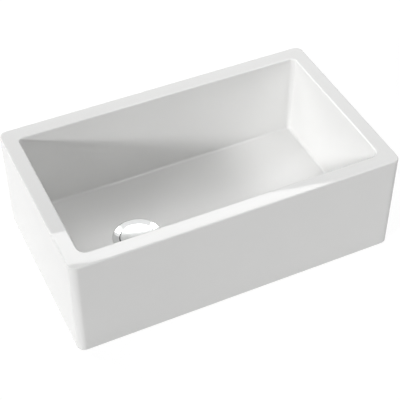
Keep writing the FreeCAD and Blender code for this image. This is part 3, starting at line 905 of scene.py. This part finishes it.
class SINK_OT_basket(bpy.types.Operator):
    """Models the basket's stopper and knob, and dresses its cup, post and latch"""

    bl_idname = "sink.basket"
    bl_label = "Basket"

    def execute(self, context):
        drain = context.scene.sink_drain
        size = context.scene.sink_basket
        colours = context.scene.sink_finishes
        centre = (drain.x, drain.y)
        seal_low = drain.flange_top - drain.cup_depth + size.rest_gap
        seal_top = seal_low + size.seal_height
        recess = seal_low + size.retainer_height
        seal = draw_outline(
            centre,
            [
                (size.stem, recess),
                (size.retainer, recess),
                (size.retainer, seal_low, SMALL_EDGE),
                (size.seal, seal_low, FULL_EDGE),
                (size.seal, seal_top, FULL_EDGE),
                (size.stem, seal_top),
            ],
        )
        turn(centre)
        close_up(seal)
        rubber = bpy.data.materials["black_rubber"]
        finish_piece(seal, "stopper_rubber", "basket", "black_rubber", rubber, "stopper_seal")
        basket_low = seal_top + size.collar_height
        basket_floor = basket_low + size.sheet
        cap_low = basket_low + size.basket_height + size.rest_gap + size.foot_height
        knob_top = cap_low - size.cap_dish - size.knob_gap
        knob_low = knob_top - size.knob_height
        socket_top = knob_top - size.knob_height / 2
        knob = draw_outline(
            centre,
            [
                (0.0, knob_top),
                (size.knob, knob_top, size.knob_round),
                (size.knob, knob_low, size.knob_round / 2),
                (size.sleeve, knob_low, SOFT_EDGE),
                (size.sleeve, basket_floor, SMALL_EDGE),
                (size.post, basket_floor),
                (size.post, socket_top),
                (0.0, socket_top),
            ],
            closed=False,
        )
        turn(centre, 64)
        close_up(knob)
        steel = bpy.data.materials["polished_steel"]
        finish_piece(knob, "knob_turned", "basket", "polished_steel", steel, "basket_knob")
        pressed = spun_steel("pressed_steel", colours.strainer, drain, 0.2)
        dress(pressed, "basket_cup", "centre_post", "seal_retainer", "cap_skirt")
        dress(spun_steel("spring_steel", colours.spring, drain, 0.25), "latch_spring")
        return {"FINISHED"}


class SINK_OT_cap(bpy.types.Operator):
    """Models the dished cap and dresses its feet"""

    bl_idname = "sink.cap"
    bl_label = "Cap"

    def execute(self, context):
        drain = context.scene.sink_drain
        size = context.scene.sink_basket
        colours = context.scene.sink_finishes
        centre = (drain.x, drain.y)
        seal_low = drain.flange_top - drain.cup_depth + size.rest_gap
        basket_low = seal_low + size.seal_height + size.collar_height
        cap_low = basket_low + size.basket_height + size.rest_gap + size.foot_height
        top = dish(size.cap, cap_low + size.cap_height, size.cap_dish, 16)
        under = dish(size.cap_land, cap_low, size.cap_dish, 8)
        top[-1] += (size.cap_edge,)
        corners = top + [(size.cap, cap_low, FINE_EDGE)] + under[::-1]
        cap = draw_outline(centre, corners, closed=False, segments=5)
        turn(centre, 144)
        close_up(cap)
        steel = bpy.data.materials["polished_steel"]
        finish_piece(cap, "cap_dished", "cap", "polished_steel", steel, "cap_disc")
        dress(moulded("grey_rubber", colours.soft_rubber, 0.6), "cap_feet")
        return {"FINISHED"}


# ---- Stage -----------------------------------------------------------------------
FLOOR_OPENING = 0.085  # radius of the opening in the floor, round the drain's fittings
FLOOR_SPREAD = 150.0  # how many times larger the floor is than its opening
KEY_PLACE = (-2.51, -1.26, 1.174)
KEY_DIRECTION = (1.0, 0.375, -0.398)
KEY_ANGLE = math.radians(7.5)
RIM_TURN = math.radians(-10.3)
CAMERA_PLACE = (-0.7612, -1.6257, 1.8301)
CAMERA_DIRECTION = (0.3068, 0.6492, -0.6958)
CAMERA_LENS = 98.19
SINK_MIDDLE = (0.0, 0.0, 0.12)
# Each lamp's setting, place, the point that it faces, width and depth.
LAMPS = (
    ("rim", (0.832, 1.312, 2.0), None, 1.78, 0.20),
    ("overhead", (0.8, -0.15, 2.0), (0.8, -0.15, 0.0), 1.0, 1.0),
    ("corner", (-0.8, 1.15, 2.0), SINK_MIDDLE, 1.2, 1.2),
    ("front", (0.3, -2.8, 1.2), SINK_MIDDLE, 1.2, 1.2),
    ("rear", (-0.3, 2.2, 0.30), SINK_MIDDLE, 1.8, 0.35),
    ("right", (2.2, 0.3, 0.30), SINK_MIDDLE, 1.8, 0.35),
)


class SINK_OT_stage(bpy.types.Operator):
    """Sets up the floor, the lights and the camera"""

    bl_idname = "sink.stage"
    bl_label = "Stage"

    def execute(self, context):
        settings = context.scene.sink_stage
        drain = context.scene.sink_drain
        scene = context.scene
        scene.view_settings.view_transform = "Standard"
        # Floor with an opening for the drain's fittings.
        floor = start(
            bpy.ops.mesh.primitive_circle_add,
            vertices=96,
            radius=FLOOR_OPENING,
            fill_type="NOTHING",
            location=(drain.x, drain.y, 0.0),
        )
        bpy.ops.mesh.select_all(action="SELECT")
        bpy.ops.mesh.extrude_edges_move()
        bpy.ops.transform.resize(
            value=(FLOOR_SPREAD, FLOOR_SPREAD, 1.0), center_override=(drain.x, drain.y, 0.0)
        )
        bpy.ops.mesh.select_all(action="SELECT")
        bpy.ops.mesh.normals_make_consistent(inside=False)
        bpy.ops.object.mode_set(mode="OBJECT")
        if floor.data.polygons[0].normal.z < 0:
            floor.data.flip_normals()
        floor.name = "floor"
        floor.data.materials.append(stage_white("floor_white"))
        # World: white in sight and in reflections, and faint as light.
        world = bpy.data.worlds.new("surround")
        scene.world = world
        world.use_nodes = True
        tree = world.node_tree
        path = tree.nodes.new("ShaderNodeLightPath")
        seen = tree.nodes.new("ShaderNodeMath")
        seen.operation = "MAXIMUM"
        tree.links.new(path.outputs["Is Camera Ray"], seen.inputs[0])
        tree.links.new(path.outputs["Is Glossy Ray"], seen.inputs[1])
        also = tree.nodes.new("ShaderNodeMath")
        also.operation = "MAXIMUM"
        tree.links.new(seen.outputs[0], also.inputs[0])
        tree.links.new(path.outputs["Is Transmission Ray"], also.inputs[1])
        level = tree.nodes.new("ShaderNodeMapRange")
        tree.links.new(also.outputs[0], level.inputs["Value"])
        level.inputs["To Min"].default_value = settings.surround
        level.inputs["To Max"].default_value = 1.0
        background = tree.nodes["Background"]
        background.inputs["Color"].default_value = (1.0, 1.0, 1.0, 1.0)
        tree.links.new(level.outputs[0], background.inputs["Strength"])
        sun = bpy.data.lights.new("key_light", "SUN")
        sun.energy = settings.key
        sun.angle = KEY_ANGLE
        key = bpy.data.objects.new("key_light", sun)
        scene.collection.objects.link(key)
        key.location = KEY_PLACE
        key.rotation_euler = Vector(KEY_DIRECTION).to_track_quat("-Z", "Y").to_euler()
        for name, place, target, width, depth in LAMPS:
            add_light(name + "_light", place, target, width, depth, getattr(settings, name))
        camera = bpy.data.cameras.new("photo_camera")
        camera.sensor_width = 36.0
        camera.lens = CAMERA_LENS
        camera.clip_end = 100.0
        holder = bpy.data.objects.new("photo_camera", camera)
        scene.collection.objects.link(holder)
        holder.location = CAMERA_PLACE
        holder.rotation_euler = Vector(CAMERA_DIRECTION).to_track_quat("-Z", "Y").to_euler()
        scene.camera = holder
        return {"FINISHED"}


def stage_white(name):
    """White in sight and in reflections, with a faint shadow; pale to all other light."""
    f = Finish(name)
    path = f.tree.nodes.new("ShaderNodeLightPath")
    seen = Value(f, path.outputs["Is Camera Ray"]).least(Value(f, path.outputs["Is Glossy Ray"]))
    seen = seen.least(Value(f, path.outputs["Is Transmission Ray"]))
    f.tree.nodes.remove(f.shader)
    pale = f.add("ShaderNodeBsdfDiffuse", {}, {"Color": (0.86, 0.86, 0.855)})
    faint = f.add("ShaderNodeBsdfDiffuse", {}, {"Color": (0.16, 0.16, 0.16)})
    glow = f.add("ShaderNodeEmission", {}, {"Color": (1.0, 1.0, 1.0), "Strength": 0.9})
    shown = f.add("ShaderNodeAddShader", {}, {0: faint, 1: glow})
    front = f.add("ShaderNodeMixShader", {}, {0: seen, 1: pale, 2: shown})
    away = f.add("ShaderNodeNewGeometry", {}, {}, "Backfacing")
    clear = f.add("ShaderNodeBsdfTransparent", {}, {})
    both = f.add("ShaderNodeMixShader", {}, {0: away, 1: front, 2: clear})
    f.tree.links.new(both.output, f.tree.nodes["Material Output"].inputs["Surface"])
    return f.material


def add_light(name, place, target, width, depth, watts):
    """A flat lamp that faces its target, or straight down and turned along the rim."""
    light = bpy.data.lights.new(name, "AREA")
    light.shape = "RECTANGLE"
    light.size = width
    light.size_y = depth
    light.energy = watts
    holder = bpy.data.objects.new(name, light)
    bpy.context.scene.collection.objects.link(holder)
    holder.location = place
    if target:
        aim = Vector(target) - Vector(place)
        holder.rotation_euler = aim.to_track_quat("-Z", "Y").to_euler()
    else:
        holder.rotation_euler = (0.0, 0.0, RIM_TURN)


# ---- Add-on ----------------------------------------------------------------------
PIECES = (
    SINK_OT_basin,
    SINK_OT_strainer,
    SINK_OT_clamp,
    SINK_OT_outlet,
    SINK_OT_basket,
    SINK_OT_cap,
    SINK_OT_stage,
)


class SINK_PT_panel(bpy.types.Panel):
    """Lists the sink's pieces"""

    bl_idname = "SINK_PT_panel"
    bl_label = "Apron Sink"
    bl_space_type = "VIEW_3D"
    bl_region_type = "UI"
    bl_category = "Sink"

    def draw(self, context):
        for piece in PIECES:
            self.layout.operator(piece.bl_idname)


GROUPS = {
    "sink_basin": BasinSizes,
    "sink_drain": DrainSizes,
    "sink_basket": BasketSizes,
    "sink_finishes": Finishes,
    "sink_stage": StageSettings,
}


def register():
    for name, group in GROUPS.items():
        bpy.utils.register_class(group)
        setattr(bpy.types.Scene, name, bpy.props.PointerProperty(type=group))
    for item in (*PIECES, SINK_PT_panel):
        bpy.utils.register_class(item)


def unregister():
    for item in reversed((*PIECES, SINK_PT_panel)):
        bpy.utils.unregister_class(item)
    for name, group in GROUPS.items():
        delattr(bpy.types.Scene, name)
        bpy.utils.unregister_class(group)


def main():
    register()
    bpy.ops.sink.basin()
    bpy.ops.sink.strainer()
    bpy.ops.sink.clamp()
    bpy.ops.sink.outlet()
    bpy.ops.sink.basket()
    bpy.ops.sink.cap()
    bpy.ops.sink.stage()
    bpy.context.view_layer.update()


if __name__ == "__main__":
    main()
